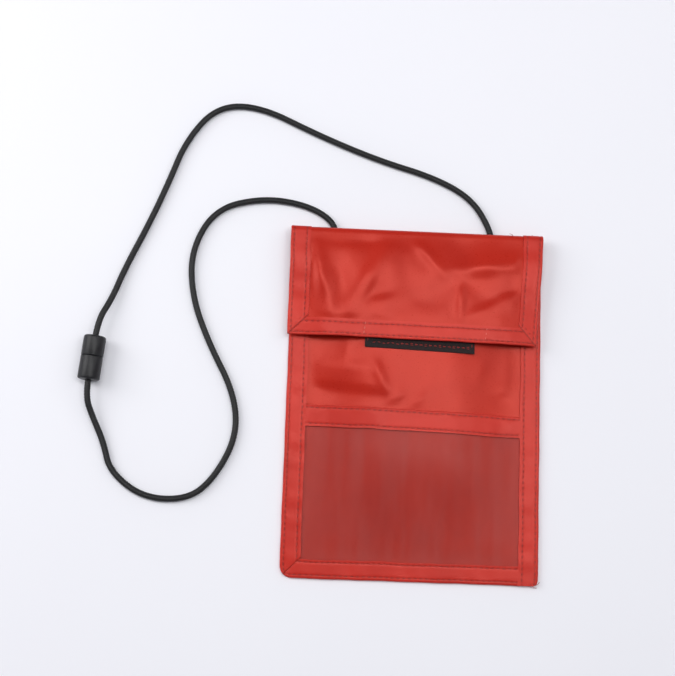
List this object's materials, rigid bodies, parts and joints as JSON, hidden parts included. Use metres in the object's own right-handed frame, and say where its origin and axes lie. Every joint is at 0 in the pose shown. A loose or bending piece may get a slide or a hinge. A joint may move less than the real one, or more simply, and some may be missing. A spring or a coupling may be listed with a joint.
{
  "type": "neck pouch wallet",
  "caption": "Flat cloth neck pouch with a fold-over flap on a touch fastener, a clear window pocket and a loose neck cord joined by a barrel clasp.",
  "frame": {"origin": "centre of the pouch's outline, on the surface that the pouch lies on; the cord isn't counted", "axes": "+X across the pouch to its right side as seen with the flap up front, +Y up the pouch to its top fold, +Z out of the front, towards the flap"},
  "size_m": [0.2301, 0.2396, 0.011],
  "materials": {
    "red_coated_nylon": "satin",
    "red_binding_tape": "matte",
    "clear_film": "gloss",
    "black_loop_tape": "matte",
    "black_hook_tape": "matte",
    "red_thread": "satin",
    "black_braid": "matte",
    "black_clasp_plastic": "satin"
  },
  "bodies": {
    "pouch": {"back_panel": "red_coated_nylon", "front_panel": "red_coated_nylon", "pocket_mouth_hem": "red_coated_nylon", "window_film": "clear_film", "window_mouth_binding": "red_binding_tape", "side_binding_left": "red_binding_tape", "side_binding_right": "red_binding_tape", "bottom_binding": "red_binding_tape", "loop_patch": "black_loop_tape", "cord_tab_left": "red_binding_tape", "cord_tab_right": "red_binding_tape", "tab_stitching": "red_thread", "edge_stitching": "red_thread", "window_mouth_stitching": "red_thread", "loop_patch_stitching": "red_thread", "neck_cord_upper": "black_braid", "neck_cord_lower": "black_braid", "clasp_socket": "black_clasp_plastic", "cord_knot_upper": "black_braid"},
    "flap": {"flap_panel": "red_coated_nylon", "flap_binding_left": "red_binding_tape", "flap_binding_right": "red_binding_tape", "flap_binding_end": "red_binding_tape", "hook_patch": "black_hook_tape", "flap_stitching": "red_thread", "hook_patch_stitching": "red_thread"},
    "clasp_plug": {"clasp_plug": "black_clasp_plastic", "cord_knot_lower": "black_braid"}
  },
  "joints": [
    {"name": "flap_fold", "type": "hinge", "parent": "pouch", "child": "flap", "pos_m": [0, 0.0857, 0.00585], "axis": [-1, 0, 0], "range_deg": [0, 165]},
    {"name": "clasp_release", "type": "slide", "parent": "pouch", "child": "clasp_plug", "axis": [-0.0958, -0.9954, 0], "range_m": [0, 0.012], "deforming": ["neck_cord_lower"]}
  ]
}
